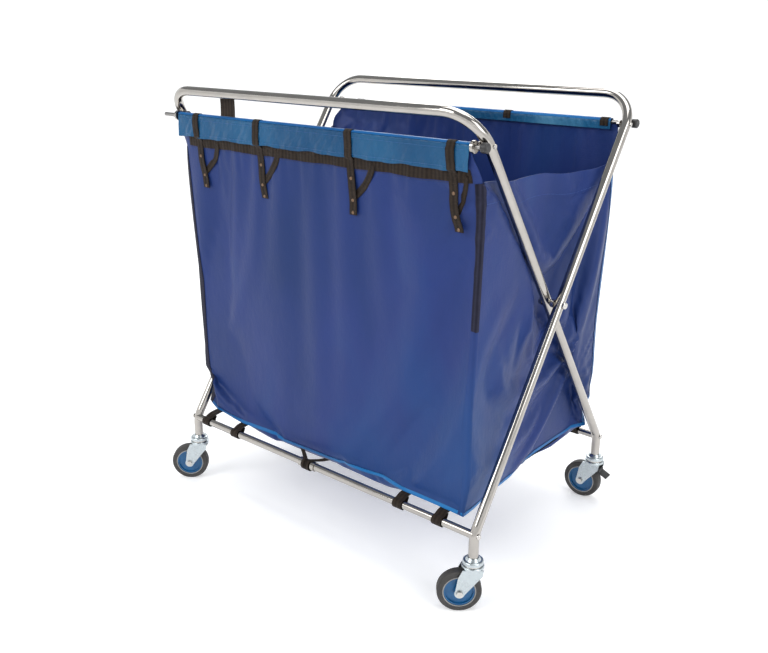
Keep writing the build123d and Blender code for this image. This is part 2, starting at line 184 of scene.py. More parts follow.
class Shader:
    """A Principled material with short helpers for its nodes."""

    def __init__(self, name, **values):
        self.mat = bpy.data.materials.new(name)
        self.mat.use_nodes = True
        self.tree = self.mat.node_tree
        self.bsdf = self.tree.nodes["Principled BSDF"]
        for key, value in values.items():
            socket = self.bsdf.inputs[key.replace("_", " ")]
            socket.default_value = (*value, 1) if isinstance(value, tuple) else value

    def node(self, kind, **inputs):
        made = self.tree.nodes.new("ShaderNode" + kind)
        for key, value in inputs.items():
            socket = made.inputs[key.replace("_", " ")]
            if isinstance(value, bpy.types.NodeSocket):
                self.tree.links.new(value, socket)
            else:
                socket.default_value = value
        return made

    def link(self, output, socket):
        self.tree.links.new(output, self.bsdf.inputs[socket])

    def position(self, scale=(1, 1, 1), uv=False):
        source = self.tree.nodes.new("ShaderNodeTexCoord").outputs["UV" if uv else "Object"]
        mapping = self.node("Mapping", Vector=source, Scale=scale)
        return mapping.outputs["Vector"]

    def noise(self, scale, detail=3.0, rough=0.5, stretch=(1, 1, 1)):
        made = self.node("TexNoise", Vector=self.position(stretch), Scale=scale, Detail=detail,
                         Roughness=rough)
        return made.outputs["Fac"]

    def ramp(self, factor, stops):
        made = self.node("ValToRGB", Fac=factor)
        band = made.color_ramp
        while len(band.elements) < len(stops):
            band.elements.new(0.5)
        for element, (place, colour) in zip(band.elements, stops):
            element.position = place
            element.color = (*colour, 1)
        return made.outputs["Color"]

    def wave(self, scale, axis, distortion=0.0):
        made = self.node("TexWave", Vector=self.position(uv=True), Scale=scale, Distortion=distortion)
        made.bands_direction = axis
        return made.outputs["Fac"]

    def math(self, operation, a, b):
        made = self.tree.nodes.new("ShaderNodeMath")
        made.operation = operation
        for socket, value in zip(made.inputs, (a, b)):
            if isinstance(value, bpy.types.NodeSocket):
                self.tree.links.new(value, socket)
            else:
                socket.default_value = value
        return made.outputs[0]

    def bumps(self, *layers):
        """Each layer is (height, distance in metres)."""
        normal = None
        for height, distance in layers:
            bump = self.node("Bump", Height=height, Distance=distance)
            if normal is not None:
                self.tree.links.new(normal, bump.inputs["Normal"])
            normal = bump.outputs["Normal"]
        self.link(normal, "Normal")


def floor_material():
    look = Shader("studio_floor", Roughness=0.85, Emission_Color=(1.0, 1.0, 1.0), Emission_Strength=0.3)
    tone = look.noise(1.5, 2.0)
    look.link(look.ramp(tone, [(0.3, (0.86, 0.86, 0.86)), (0.7, (0.88, 0.88, 0.88))]), "Base Color")
    return look.mat


def wave_scale(pitch):
    """The wave texture's scale for bands this far apart, in metres."""
    return 1 / (pitch * 20)


def weave(look, pitch):
    """Height of a plain weave: over in one direction where it is under in the other."""
    across = look.wave(wave_scale(pitch), "X")
    along = look.wave(wave_scale(pitch), "Y")
    return look.math("MULTIPLY", across, along)


def cloth_material(name, dark, mid, light, rough, crinkle):
    look = Shader(name, Sheen_Weight=0.03, Sheen_Roughness=0.4, Specular_IOR_Level=0.2)
    patch = look.noise(3.2, 4.0, 0.55, (1, 1, 0.45))
    cloud = look.noise(1.1, 2.0, 0.5)
    tone = look.math("MULTIPLY", look.math("ADD", patch, cloud), 0.5)
    look.link(look.ramp(tone, [(0.38, dark), (0.5, mid), (0.62, light)]), "Base Color")
    streak = look.noise(14, 4.0, 0.6, (1, 1, 0.3))
    gloss = look.math("MULTIPLY_ADD", streak, 0.22)
    gloss.node.inputs[2].default_value = rough - 0.11
    look.link(gloss, "Roughness")
    crease = look.noise(24, 5.0, 0.62, (1, 1, 0.5))
    fine = look.noise(95, 3.0, 0.55)
    look.bumps((crease, crinkle), (fine, crinkle * 0.22), (weave(look, 0.9 * MM), 0.05 * MM))
    return look.mat


def webbing_material(name, dark, light):
    look = Shader(name, Roughness=0.72, Sheen_Weight=0.06, Sheen_Roughness=0.5, Specular_IOR_Level=0.14)
    rib = look.wave(wave_scale(1.6 * MM), "X")
    pick = look.wave(wave_scale(1.1 * MM), "Y", 0.6)
    grain = look.noise(60, 3.0)
    tone = look.math("MULTIPLY", look.math("ADD", rib, grain), 0.5)
    look.link(look.ramp(tone, [(0.15, dark), (0.85, light)]), "Base Color")
    look.bumps((rib, 0.35 * MM), (pick, 0.2 * MM))
    return look.mat


def metal_material(name, colour, rough, spread, grain, scratch):
    look = Shader(name, Metallic=1.0)
    haze = look.noise(grain, 4.0, 0.6)
    tint = [tuple(c * k for c in colour) for k in (0.88, 1.0)]
    look.link(look.ramp(haze, [(0.3, tint[0]), (0.7, tint[1])]), "Base Color")
    fog = look.math("MULTIPLY_ADD", haze, spread)
    fog.node.inputs[2].default_value = rough - spread / 2
    look.link(fog, "Roughness")
    lines = look.noise(160, 2.0, 0.5, (0.15, 1, 1))
    look.bumps((lines, scratch))
    return look.mat


def plastic_material(name, dark, light, rough, texture):
    look = Shader(name, Specular_IOR_Level=0.5)
    patch = look.noise(45, 3.0)
    look.link(look.ramp(patch, [(0.3, dark), (0.7, light)]), "Base Color")
    worn = look.math("MULTIPLY_ADD", look.noise(120, 3.0), 0.2)
    worn.node.inputs[2].default_value = rough - 0.1
    look.link(worn, "Roughness")
    look.bumps((look.noise(900, 2.0), texture))
    return look.mat


LOOKS = {
    "bag_fabric": cloth_material("royal_blue_nylon", (0.008, 0.026, 0.112), (0.013, 0.031, 0.145),
                                 (0.010, 0.046, 0.172), 0.42, 1.5 * MM),
    "bag_binding": cloth_material("azure_binding", (0.003, 0.075, 0.240), (0.004, 0.110, 0.320),
                                  (0.010, 0.150, 0.400), 0.36, 0.5 * MM),
    # The hem's pale lightest colour is painted highlight: bright patches in the colour stand in for the shine on
    # the glossy flap's wrinkles.
    "hem_fabric": cloth_material("glossy_blue_hem_painted_highlights", (0.006, 0.050, 0.130), (0.016, 0.100, 0.215),
                                 (0.120, 0.330, 0.500), 0.20, 4.5 * MM),
    "dark_binding": webbing_material("dark_binding_tape", (0.008, 0.008, 0.018), (0.022, 0.022, 0.042)),
    "black_webbing": webbing_material("black_webbing", (0.010, 0.006, 0.004), (0.028, 0.019, 0.013)),
    # The chrome's colour is darker and warmer than bare chrome: painted reflection of the dark brownish
    # surroundings that the tubes mirror.
    "chrome_tube": metal_material("chromed_tube_painted_reflection", (0.44, 0.415, 0.385), 0.10, 0.08, 22, 0.02 * MM),
    "zinc_plate": metal_material("zinc_plate", (0.52, 0.57, 0.59), 0.28, 0.16, 70, 0.05 * MM),
    "dark_rod": metal_material("dark_rod", (0.30, 0.29, 0.28), 0.32, 0.12, 40, 0.05 * MM),
    "fastener_steel": metal_material("fastener_steel", (0.60, 0.58, 0.55), 0.20, 0.1, 60, 0.03 * MM),
    "stud_brass": metal_material("dull_brass", (0.20, 0.13, 0.085), 0.34, 0.16, 150, 0.05 * MM),
    "black_plastic": plastic_material("black_plastic", (0.012, 0.012, 0.013), (0.022, 0.021, 0.022),
                                      0.42, 0.08 * MM),
    "tyre_rubber": plastic_material("tyre_rubber", (0.028, 0.026, 0.025), (0.045, 0.042, 0.040),
                                    0.66, 0.25 * MM),
    "wheel_blue": plastic_material("wheel_blue", (0.002, 0.075, 0.200), (0.004, 0.100, 0.250),
                                   0.34, 0.06 * MM),
    "grey_ring": plastic_material("grey_ring", (0.20, 0.20, 0.20), (0.27, 0.27, 0.27), 0.5, 0.1 * MM),
    "thread": plastic_material("stitch_thread", (0.05, 0.13, 0.40), (0.08, 0.20, 0.52), 0.6, 0.1 * MM),
    "dark_thread": plastic_material("dark_thread", (0.05, 0.035, 0.028), (0.10, 0.07, 0.05), 0.7, 0.1 * MM),
}


def dress_cad_nodes():
    """Gives each carried-over CAD node the look of its material slot."""
    for part in frame["record"]["subparts"]:
        piece = nodes[part["node"]]
        piece.data.materials.clear()
        piece.data.materials.append(LOOKS[part["material_slot"]])


# ------------------------------------------------------------------ grids of points

def spline(rows, factor):
    """Catmull-Rom points along axis 0, factor times as many spans."""
    rows = np.asarray(rows, float)
    first = 2 * rows[0] - rows[1]
    last = 2 * rows[-1] - rows[-2]
    p = np.concatenate([first[None], rows, last[None]])
    out = []
    for i in range(1, len(p) - 2):
        for s in range(factor):
            t = s / factor
            out.append(0.5 * (2 * p[i] + (p[i + 1] - p[i - 1]) * t
                              + (2 * p[i - 1] - 5 * p[i] + 4 * p[i + 1] - p[i + 2]) * t * t
                              + (3 * p[i] - p[i - 1] - 3 * p[i + 1] + p[i + 2]) * t ** 3))
    out.append(p[-2])
    return np.array(out)


def finer(grid, factor):
    """A grid with factor times as many spans both ways, through the same points."""
    once = spline(grid, factor)
    return spline(once.transpose(1, 0, 2), factor).transpose(1, 0, 2)


def grid_normals(grid):
    """Unit normals of a grid, towards rows x columns."""
    down = np.gradient(grid, axis=0)
    over = np.gradient(grid, axis=1)
    n = np.cross(over, down)
    return n / np.maximum(np.linalg.norm(n, axis=2, keepdims=True), 1e-12)


def grid_lengths(grid):
    """Distance along rows and columns, for a weave at its real scale."""
    over = np.linalg.norm(np.diff(grid, axis=1), axis=2).mean(0)
    down = np.linalg.norm(np.diff(grid, axis=0), axis=2).mean(1)
    return np.concatenate([[0], np.cumsum(down)]), np.concatenate([[0], np.cumsum(over)])


def shell(name, grid, thickness, look, normals=None):
    """A closed thin solid round a grid of points. normals keeps neighbours smooth across a split."""
    rows, cols = grid.shape[:2]
    normals = grid_normals(grid) if normals is None else normals
    if (grid_normals(grid) * normals).sum() < 0:
        grid = grid[:, ::-1]
        normals = normals[:, ::-1]
    points = np.concatenate([(grid + normals * thickness / 2).reshape(-1, 3),
                             (grid - normals * thickness / 2).reshape(-1, 3)])
    count = rows * cols
    at = np.arange(count).reshape(rows, cols)
    faces = []
    for r in range(rows - 1):
        for c in range(cols - 1):
            a, b, d, e = at[r, c], at[r, c + 1], at[r + 1, c + 1], at[r + 1, c]
            faces.append((a, b, d, e))
            faces.append((a + count, e + count, d + count, b + count))
    rim = list(at[0, :]) + list(at[1:, -1]) + list(at[-1, -2::-1]) + list(at[-2:0:-1, 0])
    for a, b in zip(rim, rim[1:] + rim[:1]):
        faces.append((b, a, a + count, b + count))
    piece = raw_mesh(name, points, [tuple(int(i) for i in f) for f in faces])
    mesh = piece.data
    down, over = grid_lengths(grid)
    uv = np.stack(np.meshgrid(over, down), axis=2).reshape(-1, 2)
    uv = np.concatenate([uv, uv])
    layer = mesh.uv_layers.new(name="weave")
    corners = np.empty(len(mesh.loops), int)
    mesh.loops.foreach_get("vertex_index", corners)
    layer.data.foreach_set("uv", uv[corners].ravel())
    mesh.materials.append(LOOKS[look])
    facing = np.concatenate([normals.reshape(-1, 3), -normals.reshape(-1, 3)])
    mesh.normals_split_custom_set_from_vertices(facing)
    return piece


def path_ribbon(name, line, side, width, thickness, look, across=4):
    """A ribbon along a line of points. side is the direction of its width, one or one per point."""
    line = np.asarray(line, float)
    side = np.broadcast_to(np.asarray(side, float), line.shape)
    side = side / np.linalg.norm(side, axis=1, keepdims=True)
    steps = np.linspace(-width / 2, width / 2, across + 1)
    grid = line[:, None, :] + side[:, None, :] * steps[None, :, None]
    return shell(name, grid, thickness, look)


def stitches(name, line, normal, look, pitch=4.2 * MM, length=2.8 * MM, width=0.7 * MM):
    """A row of sewn stitches along a line of points, each a small closed lozenge."""
    line = np.asarray(line, float)
    normal = np.broadcast_to(np.asarray(normal, float), line.shape)
    steps = np.concatenate([[0], np.cumsum(np.linalg.norm(np.diff(line, axis=0), axis=1))])
    marks = np.arange(pitch / 2, steps[-1] - pitch / 2, pitch)
    points, faces = [], []
    for mark in marks:
        ends = []
        for s in (mark - length / 2, mark + length / 2):
            ends.append(np.array([np.interp(s, steps, line[:, k]) for k in range(3)]))
        up = np.array([np.interp(mark, steps, normal[:, k]) for k in range(3)])
        up = up / np.linalg.norm(up)
        along = (ends[1] - ends[0]) / np.linalg.norm(ends[1] - ends[0])
        wide = np.cross(along, up) * width / 2
        centre = (ends[0] + ends[1]) / 2
        base = len(points)
        points += [ends[0], ends[1], centre + wide, centre - wide, centre + up * width * 0.8,
                   centre - up * width * 0.5]
        for tip in (4, 5):
            for a, b in ((0, 2), (2, 1), (1, 3), (3, 0)):
                tri = (base + a, base + b, base + tip)
                faces.append(tri if tip == 4 else tri[::-1])
    piece = raw_mesh(name, points, faces)
    piece.data.materials.append(LOOKS[look])
    return piece


# ------------------------------------------------------------------ the bag's shape

GRID = 13.1 * MM
NX = round((BAG_RIGHT - BAG_LEFT) / GRID)
NY = 2 * round((BAG_REAR - BAG_FRONT) / GRID / 2)
NZ = round((RIM - BAG_BOTTOM) / GRID)
NTOP = 5
HEM_LINE = FRONT_ROD.z - 4 * MM


def leg_y(z, front_top):
    """Centre of a leg in Y at height z."""
    y = LEG_FOOT_Y + (LEG_TOP_Y - LEG_FOOT_Y) * (z - LEG_FOOT_Z) / (LEG_TOP_Z - LEG_FOOT_Z)
    return y if front_top else -y


def smooth(x):
    x = min(max(x, 0.0), 1.0)
    return x * x * (3 - 2 * x)


def rest_point(i, j, k):
    """A point of the bag before it hangs: a box, fuller at its corners where no leg holds it in."""
    u = i / NX
    v = j / NY
    z = BAG_BOTTOM + (RIM - BAG_BOTTOM) * k / NZ
    if k > NZ:
        z = RIM + (HEM_LINE - RIM) * (k - NZ) / NTOP
    y = BAG_FRONT + (BAG_REAR - BAG_FRONT) * v
    x = BAG_LEFT + (BAG_RIGHT - BAG_LEFT) * u
    near_end = smooth((abs(y) - 0.15) / 0.12)
    right_free = smooth((abs(y - leg_y(z, True)) - 0.030) / 0.05)
    left_free = smooth((abs(y - leg_y(z, False)) - 0.030) / 0.05)
    hang = smooth((z - BAG_BOTTOM) / 0.10)
    x += (17 * MM * right_free * smooth((u - 0.9) / 0.1)
          - 27 * MM * left_free * smooth((0.1 - u) / 0.1)) * near_end * (0.35 + 0.65 * hang)
    return np.array((x, y, z))


def bag_mesh():
    """The whole bag as one open mesh, and where each grid point is in it."""
    index = {}
    points = []
    for i in range(NX + 1):
        for j in range(NY + 1):
            for k in range(NZ + NTOP + 1):
                on_long = j in (0, NY)
                on_end = i in (0, NX) and k <= NZ
                if on_long or on_end or k == 0:
                    index[i, j, k] = len(points)
                    points.append(rest_point(i, j, k))
    faces = []
    for j in (0, NY):
        for i in range(NX):
            for k in range(NZ + NTOP):
                faces.append((index[i, j, k], index[i + 1, j, k],
                              index[i + 1, j, k + 1], index[i, j, k + 1]))
    for i in (0, NX):
        for j in range(NY):
            for k in range(NZ):
                faces.append((index[i, j, k], index[i, j + 1, k],
                              index[i, j + 1, k + 1], index[i, j, k + 1]))
    for i in range(NX):
        for j in range(NY):
            faces.append((index[i, j, 0], index[i + 1, j, 0], index[i + 1, j + 1, 0], index[i, j + 1, 0]))
    return index, np.array(points), faces


STRAPS_UNDER_X = [-0.405, -0.292, 0.250, 0.358]
TOP_ROWS_FIRM = 1
TOP_ROWS_SOFT = 3
CORNER_HOLD = 0.45
STRAP_REACH = 16 * MM


def pin_weight(i, j, k):
    """How firmly a point is held: by the rods at the top, by the under-bag straps at the bottom."""
    if k >= NZ + NTOP - TOP_ROWS_FIRM:
        return 1.0
    if k >= NZ + NTOP - TOP_ROWS_SOFT and j in (0, NY):
        return 0.5
    if i in (0, NX) and j in (0, NY):
        return CORNER_HOLD
    if k == 0 and j in (0, NY):
        x = BAG_LEFT + (BAG_RIGHT - BAG_LEFT) * i / NX
        near = min(abs(x - s) for s in STRAPS_UNDER_X + [BAG_LEFT, BAG_RIGHT])
        return 0.9 if near < STRAP_REACH else 0.06
    return 0.0


def fullness(point):
    """The bag's set before it hangs: soft upright folds and a belly, in metres outwards."""
    x, y, z = point
    height = (z - BAG_BOTTOM) / (BAG_TOP - BAG_BOTTOM)
    belly = math.sin(math.pi * min(max(height, 0), 1))
    fold = (2.2 * math.sin(x * 31 + 0.8 * math.sin(z * 5)) + 1.6 * math.sin(x * 67 + y * 40 + 1.3)
            + 1.4 * math.sin(y * 45 + z * 9 + 0.6))
    return (5.0 * belly + fold * (0.25 + 0.75 * height) * (1 - smooth((height - 0.9) / 0.1))) * MM


def outward(i, j, k):
    """Which way is out of the bag at a grid point."""
    if j == 0:
        return np.array((0, -1, 0))
    if j == NY:
        return np.array((0, 1, 0))
    if i == 0:
        return np.array((-1, 0, 0))
    if i == NX:
        return np.array((1, 0, 0))
    return np.array((0, 0, -1))


def leg_collider(name, front_top):
    """A plain round bar for the cloth to lie against; it is removed after the simulation."""
    x = LEG_X[front_top]
    a = Vector((x, leg_y(LEG_FOOT_Z, front_top), LEG_FOOT_Z))
    b = Vector((x, leg_y(LEG_TOP_Z, front_top), LEG_TOP_Z))
    bpy.ops.mesh.primitive_cylinder_add(radius=TUBE_R, depth=(b - a).length, vertices=24,
                                        location=(a + b) / 2,
                                        rotation=(b - a).to_track_quat("Z", "Y").to_euler())
    bar = bpy.context.object
    bar.name = name
    bar.modifiers.new("collision", "COLLISION")
    bar.collision.thickness_outer = 2 * MM
    return bar


FARTHEST_MOVE = 26 * MM
HANG_FRAMES = 28


def hang_bag(index, points, faces):
    """Hangs the bag by cloth simulation and returns its points."""
    start = points.copy()
    for (i, j, k), n in index.items():
        corner = (i in (0, NX)) and (j in (0, NY))
        if k == 0 or corner:
            continue
        start[n] = points[n] + outward(i, j, k) * fullness(points[n])
    bag = raw_mesh("bag_sim", start, faces)
    held = bag.vertex_groups.new(name="held")
    for key, n in index.items():
        weight = pin_weight(*key)
        if weight:
            held.add([n], weight, "REPLACE")
    legs = [leg_collider("leg_right", True), leg_collider("leg_left", False)]
    cloth = bag.modifiers.new("cloth", "CLOTH")
    settings = cloth.settings
    settings.quality = 7
    settings.mass = 0.12
    settings.tension_stiffness = 40
    settings.compression_stiffness = 30
    settings.shear_stiffness = 12
    settings.bending_stiffness = 1.2
    settings.air_damping = 3
    settings.vertex_group_mass = "held"
    settings.pin_stiffness = 1
    settings.shrink_min = -0.012
    settings.effector_weights.gravity = 0.7
    cloth.collision_settings.distance_min = 2 * MM
    cloth.collision_settings.use_self_collision = False
    cloth.point_cache.frame_end = 40
    for step in range(1, HANG_FRAMES + 1):
        scene.frame_set(step)
    shape = bag.evaluated_get(bpy.context.evaluated_depsgraph_get()).to_mesh()
    result = np.empty(len(points) * 3)
    shape.vertices.foreach_get("co", result)
    for helper in [bag] + legs:
        bpy.data.objects.remove(helper)
    scene.frame_set(1)
    result = result.reshape(-1, 3)
    move = result - points
    far = np.linalg.norm(move, axis=1, keepdims=True)
    return keep_clear(points + move * np.minimum(1, FARTHEST_MOVE / np.maximum(far, 1e-9)))


def keep_clear(points):
    """Moves the end panels in from the legs they lie beside."""
    gap = TUBE_R + 3.2 * MM
    out = points.copy()
    for front_top, inward in ((True, -1), (False, 1)):
        x = LEG_X[front_top]
        for n, p in enumerate(out):
            if (p[0] - (x + inward * 0.09)) * inward > 0:
                continue
            across = (p[1] - leg_y(p[2], front_top)) * LEG_LEAN
            if abs(across) < gap:
                reach = math.sqrt(gap * gap - across * across)
                limit = x + inward * reach
                if (p[0] - limit) * inward < 0:
                    out[n][0] = limit
    return out


def make_bag():
    """The hung bag's panels, and the same panels as cut, before hanging."""
    index, points, faces = bag_mesh()
    return panels_of(index, hang_bag(index, points, faces)), panels_of(index, points)


def panels_of(index, done):
    """The five panels as grids of points, rows running down."""
    def at(i, j, k):
        return done[index[i, j, k]]

    tall = range(NZ + NTOP, -1, -1)
    low = range(NZ, -1, -1)
    across = range(NX + 1)
    deep = range(NY + 1)
    return {
        "front": np.array([[at(i, 0, k) for i in across] for k in tall]),
        "rear": np.array([[at(i, NY, k) for i in across] for k in tall]),
        "right": np.array([[at(NX, j, k) for j in deep] for k in low]),
        "left": np.array([[at(0, j, k) for j in deep] for k in low]),
        "floor": np.array([[at(i, j, 0) for i in across] for j in deep]),
    }


# ------------------------------------------------------------------ soft pieces that stand in for hidden CAD nodes

def follow(piece):
    """Bakes a piece's transform into its points."""
    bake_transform(piece)
    return piece


FINE = 2
LEAST_FLAT = 11 * MM


def hang(piece, node, flat, held="hung", on=("front_bag_rod", "rear_bag_rod"), slot="bag_fabric"):
    """Hides the CAD node that a piece of cloth stands for."""
    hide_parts(node)
    return piece


def stand_in(piece, node):
    """Hides the CAD node that a small sewn-on piece stands for."""
    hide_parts(node)
    return piece


def flat_size(grid):
    """A grid's width and length along its surface."""
    down, over = grid_lengths(grid)
    return max(float(over[-1]), LEAST_FLAT), max(float(down[-1]), LEAST_FLAT)


def row_at(grid, z):
    """The row of a grid that lies nearest to a height."""
    return int(np.argmin(abs(grid[:, :, 2].mean(1) - z)))


TAPE = 24.5 * MM


def tape(name, grid, normals, look):
    """A corner tape, split at the pivots' height."""
    mid = row_at(grid, PIVOT_Z)
    made = []
    for part, (a, b), tall in (("_upper", (0, mid + 1), RIM - PIVOT_Z),
                               ("_lower", (mid, len(grid)), PIVOT_Z - BAG_BOTTOM)):
        piece = shell(name + part, grid[a:b], 1.0 * MM, look, normals=normals[a:b])
        hang(piece, "bag_corner_bindings", (TAPE, tall), "hung", slot="black_webbing")
        follow(piece)
        made.append(piece)
    return made


def bag_panels(shape, cut_shape):
    """Each panel, the long and end panels split at the pivots' height, the end panels and the floor across the
    middle. Flat sizes come from the cut, unhung bag.
    """
    made = {}
    for panel, coarse in shape.items():
        grid = finer(coarse, FINE)
        normals = grid_normals(grid)
        rows, cols = grid.shape[:2]
        if panel == "floor":
            half = rows // 2
            parts = {"_front": (0, half + 1, 0, cols), "_rear": (half, rows, 0, cols)}
        else:
            row = row_at(grid, PIVOT_Z)
            if panel in ("front", "rear"):
                parts = {"_upper": (0, row + 1, 0, cols), "_lower": (row, rows, 0, cols)}
            else:
                mid = cols // 2
                parts = {"_front_upper": (0, row + 1, 0, mid + 1), "_rear_upper": (0, row + 1, mid, cols),
                         "_front_lower": (row, rows, 0, mid + 1), "_rear_lower": (row, rows, mid, cols)}
        node = "bag_floor" if panel == "floor" else f"bag_{panel}_panel"
        for part, (r0, r1, c0, c1) in parts.items():
            cut = grid[r0:r1, c0:c1]
            piece = shell(node + part, cut, CLOTH, "bag_fabric", normals=normals[r0:r1, c0:c1])
            hang(piece, node, flat_size(finer(cut_shape[panel], FINE)[r0:r1, c0:c1]))
            follow(piece)
        made[panel] = grid
    return made


def facing_out(grid, centre=(0, 0, 0.6)):
    """Grid normals turned to point away from the bag's middle."""
    normals = grid_normals(grid)
    away = grid - np.array(centre)
    if (normals * away).sum() < 0:
        normals = -normals
    return normals


def surface_y(grid, x, z):
    """The panel's Y at a place, from its nearest points."""
    near = (grid[:, :, 0] - x) ** 2 + (grid[:, :, 2] - z) ** 2
    flat = near.ravel()
    best = np.argpartition(flat, 4)[:4]
    weight = 1 / (flat[best] + 1e-8)
    return float((grid[:, :, 1].ravel()[best] * weight).sum() / weight.sum())


# ------------------------------------------------------------------ hems, bands, straps, bindings

HEM_R = 6.9 * MM
HEM_DROP = 47 * MM
HEM_TUCK = 16 * MM
ROD = {-1: FRONT_ROD, 1: REAR_ROD}
HEM_NODE = {-1: "front_bag_hem", 1: "rear_bag_hem"}
TOP_BODY = {-1: "front_top_frame", 1: "rear_top_frame"}
SIDE = {-1: "front", 1: "rear"}
STRAP_X = {-1: [-0.391, -0.180, 0.096, 0.357], 1: [-0.361, -0.150, 0.126, 0.387]}
STRAP_W = 20 * MM
STRAP_TIP = 0.801
STRAP_SLANT = 13 * MM
STUD_Z = (0.806, 0.832, 0.877)
STUD_R = 3.7 * MM
STUD_TALL = 1.8 * MM
LOOP_GAP = 2.1 * MM
TAIL_REACH = 66 * MM
TAIL_TOP_Z = 0.912
TAIL_FOOT_Z = 0.838
BAND_Z = (0.898, 0.924)


def hem_ripple(side, x, s):
    """Outward offset of the hem's cloth, s metres down from the top of the rod."""
    low = min(max(s / HEM_DROP, 0), 1)
    wave = (1.5 * math.sin(x * 58 + side) + 1.1 * math.sin(x * 131 + 2 * side + s * 30)
            + 0.7 * math.sin(x * 260 + s * 160))
    return wave * low * MM + 2.0 * MM * low


def hem_row(side, x, count=26):
    """The hem's section at x: up the rod's inner side, over it and down the outer flap."""
    rod = ROD[side]
    points = []
    arc = math.pi * HEM_R
    total = HEM_TUCK + arc + HEM_DROP
    for n in range(count):
        s = total * n / (count - 1)
        crease = 0.35 * MM * math.sin(x * 330 + s * 220) + 0.3 * MM * math.sin(x * 175 - s * 90)
        if s < HEM_TUCK:
            out = -HEM_R - crease * 0.6
            z = rod.z - (HEM_TUCK - s)
        elif s < HEM_TUCK + arc:
            a = (s - HEM_TUCK) / HEM_R
            out = -(HEM_R + crease) * math.cos(a)
            z = rod.z + (HEM_R + crease) * math.sin(a)
        else:
            drop = s - HEM_TUCK - arc
            edge = drop / HEM_DROP
            z = rod.z - drop - edge * (1.2 * math.sin(x * 47 + side) + 0.8 * math.sin(x * 96)) * MM
            out = HEM_R + hem_ripple(side, x, drop) + crease
        points.append((x, rod.y + side * out, z))
    return points


def hem(side):
    """The sleeve and flap round a rod, its bright top edge and its two rows of stitches."""
    low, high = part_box(HEM_NODE[side])
    columns = np.linspace(low.x, high.x, 190)
    grid = np.array([hem_row(side, x) for x in columns]).transpose(1, 0, 2)
    piece = shell(f"{SIDE[side]}_top_hem", grid, 1.2 * MM, "hem_fabric")
    cut = (high.x - low.x, HEM_TUCK + math.pi * HEM_R + HEM_DROP)
    hang(piece, HEM_NODE[side], cut, "hung", [f"{SIDE[side]}_bag_rod"], "hem_fabric")
    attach(piece, TOP_BODY[side])
    piping = np.array([[(x, ROD[side].y - side * (HEM_R + 1.3 * MM) * math.cos(a),
                         ROD[side].z + (HEM_R + 1.3 * MM) * math.sin(a)) for x in columns]
                       for a in np.linspace(math.radians(20), math.radians(150), 9)])
    edge = shell(f"{SIDE[side]}_hem_piping", piping, 0.9 * MM, "bag_binding")
    hang(edge, HEM_NODE[side], flat_size(piping), "folded", [f"{SIDE[side]}_bag_rod"], "hem_fabric")
    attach(edge, TOP_BODY[side])
    for name, z_up in (("low", 7 * MM), ("high", HEM_DROP - 6 * MM)):
        line = []
        for x in columns[2:-2]:
            drop = HEM_DROP - z_up
            out = HEM_R + hem_ripple(side, x, drop) + 1.0 * MM
            line.append((x, ROD[side].y + side * out, ROD[side].z - drop))
        seam = stitches(f"{SIDE[side]}_hem_stitches_{name}", line, (0, side, 0), "thread")
        stand_in(seam, HEM_NODE[side])
        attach(seam, TOP_BODY[side])


def over_surface(side, grid, x, z, gap):
    """Outward Y for something lying on the hem's flap or on the panel under it."""
    y = side * surface_y(grid, x, min(z, HEM_LINE)) + gap
    rod = ROD[side]
    drop = rod.z - z
    if drop < HEM_DROP + 4 * MM:
        y = max(y, side * rod.y + HEM_R + hem_ripple(side, x, max(drop, 0)) + 0.9 * MM + gap)
    return side * y


def hem_bands(side, grid):
    """The dark band under the flap, sewn along both edges."""
    z0, z1 = BAND_Z
    columns = np.linspace(BAG_LEFT + 4 * MM, BAG_RIGHT - 4 * MM, 150)
    rows = np.linspace(z1, z0, 5)
    band = np.array([[(x, side * (side * surface_y(grid, x, z) + 1.9 * MM), z + 0.8 * MM * math.sin(x * 40))
                      for x in columns] for z in rows])
    node = f"{SIDE[side]}_hem_band"
    piece = shell(f"{SIDE[side]}_dark_band", band, 1.2 * MM, "black_webbing", normals=facing_out(band))
    hang(piece, node, (BAG_RIGHT - BAG_LEFT - 8 * MM, z1 - z0), "stretched",
         [f"bag_{SIDE[side]}_panel"], "black_webbing")
    follow(piece)
    for row in (band[0], band[-1]):
        line = row + np.array((0, side * 0.8 * MM, (2.5 if row is band[-1] else -2.5) * MM))
        seam = stand_in(stitches(f"{node}_stitches_{'low' if row is band[-1] else 'high'}", line,
                                  (0, side, 0), "dark_thread"), node)
        follow(seam)


def strap_line(side, grid, x):
    """Over the rod from behind, down the outer face to the tip."""
    rod = ROD[side]
    radius = HEM_R + LOOP_GAP
    line = [(x, rod.y - side * radius, rod.z - 9 * MM), (x, rod.y - side * radius, rod.z - 4 * MM)]
    for a in np.linspace(0, math.pi, 11):
        line.append((x, rod.y - side * radius * math.cos(a), rod.z + radius * math.sin(a)))
    for z in np.linspace(rod.z - 6 * MM, STRAP_TIP, 22):
        slant = side * STRAP_SLANT * (rod.z - z) / (rod.z - STRAP_TIP)
        sway = 1.2 * MM * math.sin(z * 60 + x * 9) - slant
        gap = 1.6 * MM + 0.6 * MM * (1 + math.sin(z * 85 + x * 40))
        line.append((x + sway, over_surface(side, grid, x, z, gap), z))
    return np.array(line)


